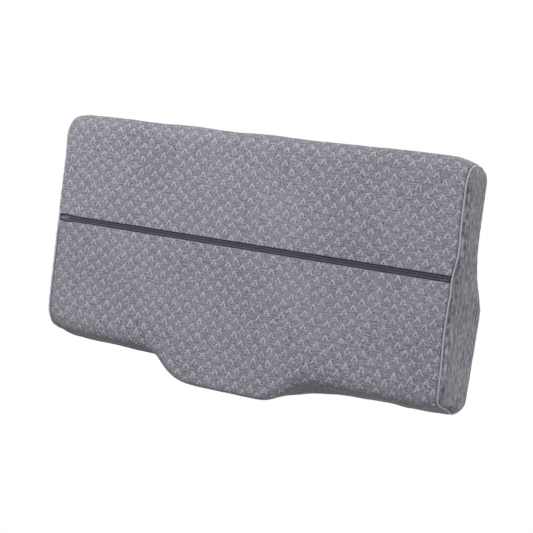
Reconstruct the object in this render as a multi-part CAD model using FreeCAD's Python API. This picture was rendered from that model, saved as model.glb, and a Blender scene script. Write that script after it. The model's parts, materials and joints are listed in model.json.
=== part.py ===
"""A contoured cervical pillow: a moulded foam core in a sewn liner, inside a zipped knit cover.

The pillow lies on its flat underside. X runs along its length, Y from the neck side (-Y) to the
back edge (+Y), and Z is up. The origin is on the underside, at the centre of the pillow's footprint.
Two thick wings carry a side sleeper. Between them the neck side reaches forward as a tongue, behind
which the top dips into a head hollow. The cover is one wrapped panel that meets at a zip along the
underside, and an end panel with a piped seam at each end. All sizes are in millimetres.
"""
import FreeCAD, Part

import math
import os

Vector = FreeCAD.Vector

# ---- Driving dimensions ------------------------------------------------------------------------
BODY_LENGTH = 597.0          # between the two end seams
DEPTH = 345.0                # tongue lip to back edge
BACK_Y = DEPTH / 2
TONGUE_Y = -DEPTH / 2
WING_Y = TONGUE_Y + 20.0     # the wings' foremost line
WING_FOOT_Y = WING_Y + 26.5  # where a wing's slanting front face meets the underside
WING_HEIGHT = 124.5
SHELF_HEIGHT = 82.0          # the lower part of a wing, behind its crest
LIP_HEIGHT = 74.0            # front edge of the tongue
NECK_ROLL_HEIGHT = 104.0
HOLLOW_HEIGHT = 60.0
HALF_LENGTH = BODY_LENGTH / 2

TONGUE_FOOT = (60.0, 136.0)  # half-widths, at the underside, where the tongue's flank starts and ends
TONGUE_BROW = (46.0, 120.0)  # the same at the height of its lip
TOP_BLEND = (50.0, 175.0)    # where the hollow rises into a wing
END_ROUNDING = 30.0          # length over which each end draws in towards its seam
CROWN_RISE = 8.0             # how far an end face stands out past its seam
CROWN_REACH = 8.0            # width of the rounded border of an end face
SEAM_STEP = (1.6, 0.3)       # how far a layer inside the cover steps in, and on, to clear the end seam

COVER = 2.5                  # thickness of the cover's spacer knit
LINER_OUT, LINER_IN = 3.3, 3.9               # depth of the liner's two faces below the cover's face
FOAM_DEPTH = 4.1             # depth of the foam's face below the cover's face
END_PANEL = 2.0
PIPING_R, CORD_R = 1.3, 0.8
PIPING_WALL = 0.45
THREAD_R = 0.3
GAP = 0.05                   # air left between pieces that lie against each other

ZIP_Y = 23.5                 # the zip's centre line
SLOT_HALF = 4.2              # half the gap between the cover's two hems
HEM_WIDTH = 12.0
TAPE_EDGE, TAPE_WIDTH = 0.75, 13.5           # inner edge from the centre line, and width
TAPE_Z, TAPE = 5.1, 0.55
COIL_HALF, COIL_Z, COIL = 2.95, 3.1, 1.95
COIL_PART = 0.1              # half the gap between the two closed coils
TAPE_END = 292.0
RECESS_HALF = 19.0           # half-width of the groove the hems and tapes press into the foam
RECESS_Z = 6.6

SLIDER_X = 283.0             # the closed position of the slider's centre
SLIDER_LENGTH, SLIDER_HALF = 10.5, 4.0
PLATE_OUT_Z, PLATE = 2.2, 0.8
PLATE_IN_Z, PLATE_IN = 5.75, 0.7
FLANGE = 0.85
NECK_HALF, NECK_X, NECK_LENGTH = 0.6, 2.0, 2.4
BRIDGE_HALF, BRIDGE_LENGTH = 0.8, 6.4
BRIDGE_WALL = 0.75
TAB_PIN_R, TAB_PIN_Z = 0.5, 1.5
TAB_HALF, TAB_LENGTH, TAB = 2.3, 9.5, 1.0
STOP_LENGTH = 1.8
BOTTOM_STOP_X = -289.5

# ---- Cross-sections ----------------------------------------------------------------------------
# Each outline runs from the underside's back corner forward, up the neck side, back over the top and
# down the back edge. A corner is (y, z, rounding radius). The underside is set SINK below the ground
# plane, so that trimming it there leaves a true flat.
SINK = 0.4
CENTRE_OUTLINE = (
    (BACK_Y, -SINK, 20),                       # underside, back corner
    (TONGUE_Y, -SINK, 10),                     # underside, front corner
    (TONGUE_Y - 0.5, 40, 40),                  # widest line of the front face
    (TONGUE_Y + 3, LIP_HEIGHT, 30),            # front edge of the top
    (TONGUE_Y + 58, NECK_ROLL_HEIGHT, 60),     # crest
    (0, HOLLOW_HEIGHT, 110),                   # foot of the slope behind the crest
    (BACK_Y, SHELF_HEIGHT - 2, 22),            # back edge of the top
)
WING_OUTLINE = (
    (BACK_Y, -SINK, 20),
    (WING_FOOT_Y, -SINK, 12),
    (WING_Y, 70, 25),
    (WING_Y, WING_HEIGHT - 10, 20),
    (-15.4, WING_HEIGHT, 28),
    (42, SHELF_HEIGHT, 100),
    (BACK_Y, SHELF_HEIGHT, 22),
)
END_OUTLINE = (
    (BACK_Y - 9, 4.5, 24),
    (WING_FOOT_Y + 1, 4.5, 16),
    (WING_Y + 1.5, 70, 25),
    (WING_Y + 2, 107.5, 18),
    (-15.4, 117.8, 28),
    (42, 75, 100),
    (BACK_Y - 9, 75, 22),
)
STATIONS = (0, 28, 48, 62, 74, 84, 94, 104, 114, 126, 140, 158, 180, 220)
END_STEPS = (0, 8, 15, 20, 24, 27, 29, 30)   # stations on an end's rounding, from its start
CROWN_STEPS = (0, 30, 55, 75, 90)            # angles round the quarter ellipse of an end face's border


def smooth_step(value, start, end):
    """0 before start, 1 after end, and a smooth rise between."""
    t = min(1.0, max(0.0, (value - start) / (end - start)))
    return t * t * (3 - 2 * t)


def end_share(x):
    """0 on the body, growing along an elliptical quarter to 1 at the end seam."""
    start = HALF_LENGTH - END_ROUNDING
    steepness = 0.94
    t = min(1.0, max(0.0, (abs(x) - start) / END_ROUNDING)) * steepness
    return (1 - math.sqrt(1 - t * t)) / (1 - math.sqrt(1 - steepness ** 2))


def corners_at(x):
    """The section's corners at a distance x along the length."""
    foot, brow, top = [smooth_step(abs(x), *reach) for reach in (TONGUE_FOOT, TONGUE_BROW, TOP_BLEND)]
    shares = (foot, foot, brow, brow, top, top, top)
    end = end_share(x)
    corners = []
    for centre, wing, rim, share in zip(CENTRE_OUTLINE, WING_OUTLINE, END_OUTLINE, shares):
        body = [c + (w - c) * share for c, w in zip(centre, wing)]
        corners.append([b + (r - b) * end for b, r in zip(body, rim)])
    return corners


class Rounding:
    """The arc that rounds one corner of an outline. Its normals point into the pillow."""

    def __init__(self, before, corner, after):
        y, z, self.radius = corner
        into, out = unit(before, corner), unit(corner, after)
        self.turn = math.atan2(into[0] * out[1] - into[1] * out[0], into[0] * out[0] + into[1] * out[1])
        self.side = -1 if self.turn > 0 else 1
        self.start = math.atan2(-into[0], into[1])
        reach = self.radius * math.tan(abs(self.turn) / 2)
        normal = (math.cos(self.start), math.sin(self.start))
        self.middle = (y - into[0] * reach + self.side * normal[0] * self.radius,
                       z - into[1] * reach + self.side * normal[1] * self.radius)

    def at(self, share, depth):
        """The point at a share of the arc's length, moved inward by depth."""
        angle = self.start + self.turn * share
        reach = self.side * self.radius - depth
        return (self.middle[0] - math.cos(angle) * reach, self.middle[1] - math.sin(angle) * reach)


def unit(a, b):
    length = math.hypot(b[0] - a[0], b[1] - a[1])
    return (b[0] - a[0]) / length, (b[1] - a[1]) / length


def roundings_at(x):
    corners = corners_at(x)
    count = len(corners)
    return [Rounding(corners[i - 1], corners[i], corners[(i + 1) % count]) for i in range(count)]


def outline_wire(x, depth, at):
    """The section at x in arcs and straight lines, moved inward by depth and placed at another x."""
    arcs = roundings_at(x)
    edges = []
    for i, arc in enumerate(arcs):
        start, middle, stop = [Vector(at, *arc.at(share, depth)) for share in (0, 0.5, 1)]
        following = Vector(at, *arcs[(i + 1) % len(arcs)].at(0, depth))
        edges.append(Part.Arc(start, middle, stop).toShape())
        edges.append(Part.LineSegment(stop, following).toShape())
    return Part.Wire(edges)


def end_wire(depth, at):
    return outline_wire(HALF_LENGTH, depth, at)


def place_on(x, end):
    """Where a station lies on a layer that ends at x = end: only the rounded ends are shortened."""
    start = HALF_LENGTH - END_ROUNDING
    if abs(x) <= start:
        return x
    return math.copysign(start + (abs(x) - start) * (end - start) / END_ROUNDING, x)


def crown_wires(depth, end):
    """Outlines that close an end with a rounded border. The end section is at x = end, moved in by depth."""
    wires = []
    for step in CROWN_STEPS:
        angle = math.radians(step)
        inward = CROWN_REACH * (1 - math.cos(angle))
        wires.append(end_wire(depth + inward, end + math.copysign(CROWN_RISE * math.sin(angle), end)))
    return wires


def body(depth, end=HALF_LENGTH, crowned=False):
    """The pillow's solid, its skin moved inward by depth and its end sections at x = -end and end."""
    rounding = [HALF_LENGTH - END_ROUNDING + step for step in END_STEPS]
    half = list(STATIONS) + rounding
    places = [-x for x in reversed(half[1:])] + half
    wires = [outline_wire(x, depth, place_on(x, end)) for x in places]
    if crowned:
        inward, onward = SEAM_STEP
        left, right = [crown_wires(depth + inward, side * (end + onward)) for side in (-1, 1)]
        wires = left[::-1] + wires + right
    return Part.makeLoft(wires, True, True)


def box(x0, x1, y0, y1, z0, z1):
    return Part.makeBox(x1 - x0, y1 - y0, z1 - z0, Vector(x0, y0, z0))


def crowned_plate(depth, start, seam):
    """A solid end face: straight sides from x = start to x = seam, and the crown beyond."""
    return Part.makeLoft([end_wire(depth, start)] + crown_wires(depth, seam), True, True)


def ring(depth, x, radius, bore=0.0):
    """A cord, or a tube when it has a bore, along the end section's outline at x."""
    path = end_wire(depth, x)
    line = path.OrderedEdges[1]
    start = line.valueAt(line.FirstParameter)
    along = line.tangentAt(line.FirstParameter)
    solids = []
    for r in (radius, bore):
        if r:
            profile = Part.Wire([Part.makeCircle(r, start, along)])
            solids.append(path.makePipeShell([profile], True, False))
    return solids[0].cut(solids[1]) if bore else solids[0]


# ---- The layers --------------------------------------------------------------------------------
def below(z, half=200.0):
    """Everything under a height, wide enough to trim the whole pillow."""
    return box(-2 * half, 2 * half, -half, half, -half, z)


def recessed(solid, inset):
    """A layer with the groove that the zip's hems and tapes press into it."""
    half = RECESS_HALF + inset
    return solid.cut(box(-400, 400, ZIP_Y - half, ZIP_Y + half, -10, RECESS_Z + inset))


def foam_core():
    return recessed(body(FOAM_DEPTH, HALF_LENGTH - FOAM_DEPTH, True), FOAM_DEPTH - LINER_OUT)


def liner_parts():
    """The liner's top and bottom panels and the thread that joins them halfway up the sides."""
    seam_z, seam_half = 36.0, 0.6
    outer = recessed(body(LINER_OUT, HALF_LENGTH - LINER_OUT, True), 0.0)
    inner = recessed(body(LINER_IN, HALF_LENGTH - LINER_IN, True), LINER_IN - LINER_OUT)
    shell = outer.cut(inner)
    top = shell.cut(below(seam_z + seam_half + GAP))
    bottom = shell.common(below(seam_z - seam_half - GAP))
    seam = shell.common(below(seam_z + seam_half)).cut(below(seam_z - seam_half))
    return {"inner_liner_top": top, "inner_liner_bottom": bottom, "inner_liner_seam": seam}


def cover_main_panel():
    """The wrapped panel, open along the zip, its two edges folded in as hems."""
    panel = body(0).cut(below(0)).cut(body(COVER))
    hem_end = TAPE_END - 1.5
    for side in (-1, 1):
        near, far = ZIP_Y + side * SLOT_HALF, ZIP_Y + side * (SLOT_HALF + HEM_WIDTH)
        panel = panel.fuse(box(-hem_end, hem_end, min(near, far), max(near, far), COVER - 0.5, 2 * COVER))
    return panel.cut(box(-400, 400, ZIP_Y - SLOT_HALF, ZIP_Y + SLOT_HALF, -5, 2 * COVER + 3)).removeSplitter()


def end_parts(side, name):
    """One end panel, its piping and cord, and the thread of its seam."""
    inner = HALF_LENGTH - END_PANEL
    edge = COVER + 0.1
    panel = crowned_plate(edge, side * inner, side * HALF_LENGTH)
    panel = panel.cut(crowned_plate(edge + END_PANEL, side * (inner - 1), side * inner))
    pipe_x = side * (HALF_LENGTH + PIPING_R + GAP)
    bore = PIPING_R - PIPING_WALL
    return {
        f"cover_end_panel_{name}": panel,
        f"piping_sleeve_{name}": ring(PIPING_R, pipe_x, PIPING_R, bore),
        f"piping_cord_{name}": ring(PIPING_R, pipe_x, CORD_R),
        f"end_seam_thread_{name}": ring(4.5, side * (inner - THREAD_R - 0.1), THREAD_R),
    }


# ---- The zip -----------------------------------------------------------------------------------
def zip_half(side, name):
    """One tape with its coil and its seam thread. side is -1 towards the neck and 1 towards the back."""
    def strip(near, far, x0, x1, z0, z1):
        a, b = ZIP_Y + side * near, ZIP_Y + side * far
        return box(x0, x1, min(a, b), max(a, b), z0, z1)

    coil_top = COIL_Z + COIL
    closed_end = SLIDER_X + NECK_X - 0.4
    coil = strip(COIL_PART, COIL_HALF, BOTTOM_STOP_X + 0.8, closed_end, COIL_Z, coil_top)
    coil = coil.fuse(strip(NECK_HALF + 0.12, COIL_HALF, closed_end, SLIDER_X + SLIDER_LENGTH / 2, COIL_Z, coil_top))
    coil = coil.removeSplitter()
    outer_edges = [e for e in coil.Edges if e.BoundBox.XLength > 1
                   and abs(abs(e.CenterOfMass.y - ZIP_Y) - COIL_HALF) < 0.01]
    seam = SLOT_HALF + 4
    return {
        f"zip_tape_{name}": strip(TAPE_EDGE, TAPE_EDGE + TAPE_WIDTH, -TAPE_END, TAPE_END, TAPE_Z, TAPE_Z + TAPE),
        f"zip_coil_{name}": coil.makeFillet(0.6, outer_edges),
        f"zip_seam_thread_{name}": strip(seam, seam + 0.5, -TAPE_END + 3, TAPE_END - 3,
                                         TAPE_Z + TAPE + GAP, TAPE_Z + TAPE + 0.3),
    }


def zip_stops():
    """The two top stops, one on each tape, and the bottom stop across both coils."""
    start = SLIDER_X + SLIDER_LENGTH / 2 + 0.5
    tops = []
    for side in (-1, 1):
        near, far = ZIP_Y + side * 0.9, ZIP_Y + side * COIL_HALF
        tops.append(box(start, start + STOP_LENGTH, min(near, far), max(near, far), COIL_Z, COIL_Z + COIL))
    bottom = box(BOTTOM_STOP_X - STOP_LENGTH, BOTTOM_STOP_X, ZIP_Y - COIL_HALF, ZIP_Y + COIL_HALF,
                 COIL_Z - 0.1, COIL_Z + COIL)
    return {"zip_top_stops": Part.makeCompound(tops),
            "zip_bottom_stop": bottom.makeFillet(0.5, [e for e in bottom.Edges if e.BoundBox.ZLength > 1])}


def shield(z0, height, half):
    """A slider plate: broad at the mouth, where the coils part, and drawn in towards its tail."""
    mouth, tail = SLIDER_LENGTH / 2, -SLIDER_LENGTH / 2
    outline = [(mouth, -half * 0.62), (mouth - 1.6, -half), (0.5, -half), (tail, -half * 0.82),
               (tail, half * 0.82), (0.5, half), (mouth - 1.6, half), (mouth, half * 0.62)]
    points = [Vector(SLIDER_X + x, ZIP_Y + y, z0) for x, y in outline]
    plate = Part.Face(Part.makePolygon(points + points[:1])).extrude(Vector(0, 0, height))
    return plate.makeFillet(0.5, [e for e in plate.Edges if e.BoundBox.ZLength > height * 0.9])


def zip_slider_body():
    """Two plates joined by the neck that parts the coils, with flanges that hold the chain in."""
    outer = shield(PLATE_OUT_Z, PLATE, SLIDER_HALF)
    inner = shield(PLATE_IN_Z, PLATE_IN, SLIDER_HALF)
    neck_x = SLIDER_X + NECK_X
    top, bottom = PLATE_IN_Z + 0.1, PLATE_OUT_Z + PLATE - 0.1
    neck = box(neck_x, neck_x + NECK_LENGTH, ZIP_Y - NECK_HALF, ZIP_Y + NECK_HALF, bottom, top)
    solid = outer.fuse(inner).fuse(neck)
    rim = shield(PLATE_OUT_Z + PLATE - 0.1, FLANGE + 0.1, SLIDER_HALF)
    inside = COIL_HALF + 0.12
    rim = rim.cut(box(SLIDER_X - 20, SLIDER_X + 20, ZIP_Y - inside, ZIP_Y + inside, 0, 10))
    return solid.fuse(rim).removeSplitter()


def zip_slider_bridge():
    """The arch on the slider's outer plate that the pull tab hangs from."""
    top = PLATE_OUT_Z - GAP
    half = BRIDGE_LENGTH / 2
    arch = box(SLIDER_X - half, SLIDER_X + half, ZIP_Y - BRIDGE_HALF, ZIP_Y + BRIDGE_HALF, 0.1, top)
    arch = arch.makeFillet(0.7, [e for e in arch.Edges if e.BoundBox.YLength > 1 and e.CenterOfMass.z < 1])
    return arch.cut(box(SLIDER_X - half + 1, SLIDER_X + half - 1, ZIP_Y - 2, ZIP_Y + 2, 0.1 + BRIDGE_WALL, top + 1))


def zip_pull_tab():
    """A flat tab with a cross pin under the bridge. It lies towards the end of the zip."""
    pin = Part.makeCylinder(TAB_PIN_R, 2 * TAB_HALF, Vector(SLIDER_X, ZIP_Y - TAB_HALF, TAB_PIN_Z), Vector(0, 1, 0))
    blade = box(SLIDER_X, SLIDER_X + TAB_LENGTH, ZIP_Y - TAB_HALF, ZIP_Y + TAB_HALF,
                TAB_PIN_Z - TAB / 2, TAB_PIN_Z + TAB / 2)
    tip = [e for e in blade.Edges if e.BoundBox.ZLength > TAB * 0.9 and e.CenterOfMass.x > SLIDER_X + 1]
    blade = blade.makeFillet(1.6, tip)
    window_end = SLIDER_X + BRIDGE_LENGTH / 2 + 0.7
    blade = blade.cut(box(SLIDER_X - 1, window_end, ZIP_Y - BRIDGE_HALF - 0.4, ZIP_Y + BRIDGE_HALF + 0.4, 0, 3))
    return blade.fuse(pin).removeSplitter()


# ---- Build -------------------------------------------------------------------------------------
def all_parts():
    parts = {"foam_core": foam_core(), "cover_main_panel": cover_main_panel()}
    parts.update(liner_parts())
    for side, name in ((-1, "left"), (1, "right")):
        parts.update(end_parts(side, name))
    for side, name in ((-1, "front"), (1, "back")):
        parts.update(zip_half(side, name))
    parts.update(zip_stops())
    parts["zip_slider_body"] = zip_slider_body()
    parts["zip_slider_bridge"] = zip_slider_bridge()
    parts["zip_pull_tab"] = zip_pull_tab()
    return parts


def main():
    os.makedirs("parts", exist_ok=True)
    for name, shape in all_parts().items():
        if not shape.isValid() or not shape.Solids:
            print("not a valid solid:", name)
        shape.exportStep(f"parts/{name}.step")
        print(name, len(shape.Solids), round(shape.Volume), [round(v, 2) for v in
              (shape.BoundBox.XMin, shape.BoundBox.XMax, shape.BoundBox.YMin, shape.BoundBox.YMax,
               shape.BoundBox.ZMin, shape.BoundBox.ZMax)])


main()
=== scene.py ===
"""The looks of a contoured cervical pillow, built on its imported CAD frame.

The knit cover is a grid of points read off the CAD cover's outside: rows run along the pillow (X) and
columns run round it, from one side of the zip to the other. A cloth simulation settles that grid on the
foam. The end panels, the piping, the liner and the foam come from the same grid, and one function,
settle(), gives them all the same small pulls, so that they stay sewn together. Lengths are in metres.
"""

import json
import math

import bmesh
import bpy
import numpy as np
from mathutils import Matrix, Vector
from mathutils.bvhtree import BVHTree


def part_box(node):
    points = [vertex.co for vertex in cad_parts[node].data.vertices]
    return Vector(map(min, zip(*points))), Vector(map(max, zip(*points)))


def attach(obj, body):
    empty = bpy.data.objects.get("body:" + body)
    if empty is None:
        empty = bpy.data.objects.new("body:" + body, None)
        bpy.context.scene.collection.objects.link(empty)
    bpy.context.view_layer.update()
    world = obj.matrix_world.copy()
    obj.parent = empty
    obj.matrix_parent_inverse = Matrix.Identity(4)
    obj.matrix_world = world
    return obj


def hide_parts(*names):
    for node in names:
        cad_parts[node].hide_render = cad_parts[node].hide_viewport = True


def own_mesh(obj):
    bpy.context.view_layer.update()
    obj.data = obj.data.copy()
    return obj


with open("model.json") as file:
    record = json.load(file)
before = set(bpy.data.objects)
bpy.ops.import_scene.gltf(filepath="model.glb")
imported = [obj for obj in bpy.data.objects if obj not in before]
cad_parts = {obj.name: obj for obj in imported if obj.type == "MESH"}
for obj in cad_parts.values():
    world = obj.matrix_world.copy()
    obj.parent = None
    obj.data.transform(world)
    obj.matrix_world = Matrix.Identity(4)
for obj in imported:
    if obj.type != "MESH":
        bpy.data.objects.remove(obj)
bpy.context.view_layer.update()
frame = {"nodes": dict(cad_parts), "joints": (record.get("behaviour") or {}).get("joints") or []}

MM = 0.001
nodes = frame["nodes"]
cover_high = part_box("cover_main_panel")[1]
liner_low, liner_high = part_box("inner_liner_top")
foam_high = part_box("foam_core")[1]
panel_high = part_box("cover_end_panel_right")[1]
sleeve_low, sleeve_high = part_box("piping_sleeve_right")
cord_low, cord_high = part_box("piping_cord_right")
seam_low, seam_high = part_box("end_seam_thread_right")
front_coil_low, front_coil_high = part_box("zip_coil_front")
back_coil_low, back_coil_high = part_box("zip_coil_back")
tape_low, tape_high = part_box("zip_tape_back")
tape_seam_low, tape_seam_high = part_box("zip_seam_thread_back")
slider_low, slider_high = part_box("zip_slider_body")

END_X = cover_high.x  # the end seams
ROUNDING = 30 * MM  # length over which an end draws in to its seam
ZIP_Y = (front_coil_high.y + back_coil_low.y) / 2
SLOT_HALF = 4.2 * MM  # half the gap between the cover's folded edges
FOLD_R = 1.15 * MM  # radius of those folds
PIPING_R = (sleeve_high.x - sleeve_low.x) / 2
PIPING_X = (sleeve_high.x + sleeve_low.x) / 2
CROWN_RISE = panel_high.x - END_X  # how far an end face stands out past its seam
CROWN_REACH = 8 * MM  # width of its rounded border
COLUMN = 5 * MM  # spacing of the cover's grid
HEART = np.array([0.0, 0.036])  # (y, z) inside every section, in sight of all of it
DRAPE_FRAMES = 20
DRAPE_CAP = 7 * MM  # the furthest the simulation may move a point
KNIT_THICKNESS = 0.9 * MM
LINER_THICKNESS = 0.5 * MM
RIM_STEP = 2.5 * MM  # spacing of the points round an end seam
SEAM_INSET = 2.2 * MM  # from the cover's edge to the end panel's
STEP_IN, STEP_ON = 1.6 * MM, 0.3 * MM  # how an inner layer steps in, and on, to clear the end seam
GROOVE_ROOF = 3.4 * MM  # height of the groove over the zip, above an inner layer's own depth

# How the sewn and stuffed cover departs from the CAD's even shape, as the photograph shows it.
FOOT_OUT = 9.0 * MM  # the foot of the wing fronts stands forward
ZIP_PULL = 1.5 * MM  # the end seams draw in at the zip,
BACK_PUFF = 2.0 * MM  # stand out behind it at the left end,
FRONT_DRAW = 2.6 * MM  # draw in before it there,
BACK_DRAW = 1.5 * MM  # and behind it at the right end
TOP_DRAW = 2.2 * MM  # the left end leans in towards the top
CORNER_ROUND = 4.5 * MM  # the right front corner is rounder
CORNER_NIP = 3.0 * MM  # and drawn in sideways,
CORNER_BULGE = 3.0 * MM  # but bulges forward just above the sole
CORNER_OUT = 5.2 * MM  # the left front corner is drawn out
BACK_CORNER = (1.0 * MM, 1.5 * MM)  # the right back corner is full, in x and y
FLANK_OUT = 6.5 * MM  # the tongue's right flank is stuffed hard
TIP_OUT = 1.5 * MM  # and its tip a little
LAP_BEHIND, LAP_BEFORE = 2.6 * MM, -1.0 * MM  # the wrap over the right piping, by the zip
SLIDER_ROOM = 1.6 * MM  # how far the slot opens round the closed slider


# ---- Small helpers -----------------------------------------------------------------------------
def smooth_step(value, start, end):
    t = np.clip((value - start) / (end - start), 0, 1)
    return t * t * (3 - 2 * t)


def bump(value, middle, width):
    """A bell of height 1 at the middle."""
    return np.exp(-((value - middle) / width) ** 2)


def waves(count, shortest, longest, seed):
    """A smooth random field of a point's three coordinates, about -1 to 1, from a few plane waves."""
    source = np.random.default_rng(seed)
    direction = source.normal(size=(count, 3))
    direction /= np.linalg.norm(direction, axis=1)[:, None]
    length = source.uniform(shortest, longest, count)
    phase = source.uniform(0, 2 * math.pi, count)

    def field(co):
        total = np.zeros(co.shape[:-1])
        for d, l, p in zip(direction, length, phase):
            total += np.sin(2 * math.pi * (co @ d) / l + p)
        return total / math.sqrt(count)
    return field


def mesh_object(name, points, faces, uv=None, smooth=True):
    """A mesh from points and faces, with a UV per point if uv is given."""
    mesh = bpy.data.meshes.new(name)
    mesh.from_pydata([tuple(p) for p in points], [], [tuple(f) for f in faces])
    if uv is not None:
        layer = mesh.uv_layers.new(name="cloth")
        corners = np.empty(len(mesh.loops), int)
        mesh.loops.foreach_get("vertex_index", corners)
        layer.data.foreach_set("uv", np.asarray(uv, float)[corners].ravel())
    mesh.polygons.foreach_set("use_smooth", [smooth] * len(mesh.polygons))
    mesh.validate()
    mesh.update()
    obj = bpy.data.objects.new(name, mesh)
    bpy.context.scene.collection.objects.link(obj)
    return obj


def grid_faces(rows, columns, wrap_rows=False, wrap_columns=False):
    """Quads of a grid whose point (i, j) has the number i * columns + j."""
    faces = []
    for i in range(rows if wrap_rows else rows - 1):
        for j in range(columns if wrap_columns else columns - 1):
            a, b = i, (i + 1) % rows
            c, d = j, (j + 1) % columns
            faces.append((a * columns + c, b * columns + c, b * columns + d, a * columns + d))
    return faces


def tube(name, path, radius, sides=10, closed=False, radii=None):
    """A round tube along a path of points. Its UV holds the lengths along and round it."""
    path = np.asarray(path, float)
    if closed:
        along = np.roll(path, -1, 0) - np.roll(path, 1, 0)
    else:
        along = np.gradient(path, axis=0)
    along /= np.linalg.norm(along, axis=1)[:, None]
    side = np.cross(along[0], (1, 0, 0))
    if np.linalg.norm(side) < 0.1:
        side = np.cross(along[0], (0, 0, 1))
    sides_at = []
    for tangent in along:
        side = side - tangent * (side @ tangent)
        side = side / np.linalg.norm(side)
        sides_at.append(side)
    sides_at = np.array(sides_at)
    other = np.cross(along, sides_at)
    turn = np.arange(sides) * 2 * math.pi / sides
    size = np.full(len(path), radius) if radii is None else np.asarray(radii)
    ring = (np.cos(turn)[None, :, None] * sides_at[:, None] + np.sin(turn)[None, :, None] * other[:, None])
    points = path[:, None] + ring * size[:, None, None]
    length = np.concatenate([[0], np.cumsum(np.linalg.norm(np.diff(path, axis=0), axis=1))])
    uv = np.stack(np.broadcast_arrays(length[:, None], turn[None, :] * radius), -1)
    faces = grid_faces(len(path), sides, wrap_rows=closed, wrap_columns=True)
    points, uv = points.reshape(-1, 3), uv.reshape(-1, 2)
    if not closed:
        faces.append(tuple(range(sides)))
        faces.append(tuple(len(points) - 1 - k for k in range(sides)))
    return mesh_object(name, points, faces, uv)


def outward(obj):
    """Turns the faces of a closed mesh outward."""
    bpy.context.view_layer.objects.active = obj
    bpy.ops.object.select_all(action="DESELECT")
    obj.select_set(True)
    bpy.ops.object.mode_set(mode="EDIT")
    bpy.ops.mesh.select_all(action="SELECT")
    bpy.ops.mesh.normals_make_consistent(inside=False)
    bpy.ops.object.mode_set(mode="OBJECT")
    return obj


# ---- The cover's grid --------------------------------------------------------------------------
def station_places():
    """The rows' places along X: even on the body, and closing up as the ends draw in."""
    rounded_from = END_X - ROUNDING
    body = np.linspace(0, rounded_from, int(rounded_from / COLUMN))
    quarter = rounded_from + ROUNDING * np.sin(np.linspace(0, math.pi / 2, 12)[1:])
    quarter[-1] -= 0.05 * MM
    half = np.concatenate([body, quarter])
    return np.concatenate([-half[:0:-1], half])


def outline_at(tree, x, rays=1200):
    """The cover's outline at x as (y, z) points, from the zip's centre line forward, up and round."""
    middle = Vector((x, *HEART))
    sole = tree.ray_cast(Vector((x, ZIP_Y - 2 * SLOT_HALF, -0.1)), Vector((0, 0, 1)))[0].z
    first = math.atan2(sole - middle.z, ZIP_Y - middle.y)
    points = []
    for k in range(rays):
        angle = first - 2 * math.pi * k / rays
        direction = Vector((0, math.cos(angle), math.sin(angle)))
        if direction.z < 0:
            reach = (sole - middle.z) / direction.z
            if abs(middle.y + direction.y * reach - ZIP_Y) < 1.5 * SLOT_HALF:
                points.append((middle.y + direction.y * reach, sole))
                continue
        hit = tree.ray_cast(middle + direction, -direction)[0]
        points.append((hit.y, hit.z))
    points.append(points[0])
    return np.array(points)


def resample(points, places):
    """Points at the given lengths along a line of points."""
    length = np.concatenate([[0], np.cumsum(np.linalg.norm(np.diff(points, axis=0), axis=1))])
    return np.stack([np.interp(places, length, points[:, k]) for k in range(points.shape[1])], -1)


def outline_length(points):
    return np.linalg.norm(np.diff(points, axis=0), axis=1).sum()


def full_front(grid):
    """Fills out the front of both wings: it stands up more, and the cloth rolls softly off the sole."""
    x, y, z = grid[..., 0], grid[..., 1].copy(), grid[..., 2]
    row = np.arange(len(grid))
    foremost = np.argmin(y, axis=1)
    front_y, front_z = y[row, foremost][:, None], z[row, foremost][:, None]
    wing = smooth_step(abs(x), 100 * MM, 125 * MM)
    wing *= 1 - np.where(x > 0, 0.4, 1.0) * smooth_step(abs(x), END_X - 35 * MM, END_X - 5 * MM)
    below = 1 - np.clip(z / front_z, 0, 1)
    near = (1 - smooth_step(y - front_y, 22 * MM, 60 * MM)) * wing
    grid[..., 1] -= FOOT_OUT * below * near
    soft = (near * smooth_step(below, 0.1, 0.4))[..., None]
    for _ in range(6):
        eased = (np.roll(grid, 1, 1) + 2 * grid + np.roll(grid, -1, 1)) / 4
        grid[:, 2:-2, 1:] += ((eased - grid)[..., 1:] * soft)[:, 2:-2]
    return grid


def read_cover():
    """The cover's outside as a grid of points [row, column, xyz], and the cloth's own coordinates."""
    cover = nodes["cover_main_panel"]
    tree = BVHTree.FromObject(cover, bpy.context.evaluated_depsgraph_get())
    places = station_places()
    outlines = [outline_at(tree, x) for x in places]
    lengths = np.array([outline_length(o) for o in outlines])
    columns = int(lengths.max() / COLUMN)
    margin = SLOT_HALF + FOLD_R
    grid, cloth_v = [], []
    usual = lengths[np.argmin(abs(places - 0.2))]
    for x, outline, length in zip(places, outlines, lengths):
        s = np.linspace(margin, length - margin, columns)
        yz = resample(outline, s)
        grid.append(np.column_stack([np.full(columns, x), yz]))
        # The rows of the knit lie at even distances from the zip; the slack is taken up over the top.
        cloth_v.append(s + (usual - length) * smooth_step(s / length, 0.36, 0.72))
    grid, cloth_v = np.array(grid), np.array(cloth_v)
    body = abs(places) < END_X - ROUNDING - 2 * MM
    for _ in range(3):  # evens out the CAD cover's flat facets
        eased = (np.roll(grid, 1, 0) + 2 * grid + np.roll(grid, -1, 0)) / 4
        grid[body, :, 1:] = eased[body, :, 1:]
    grid = full_front(grid)
    # Along X the cloth's coordinate is the place itself on the body, and the length run over an end.
    steps = np.linalg.norm(np.diff(grid, axis=0), axis=-1)
    straight = (body[1:] & body[:-1])[:, None]
    steps = np.where(straight, np.diff(places)[:, None], steps)
    along = np.concatenate([np.zeros((1, columns)), np.cumsum(steps, 0)])
    along -= along[len(places) // 2]
    return grid, np.stack([along, cloth_v], -1)


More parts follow.
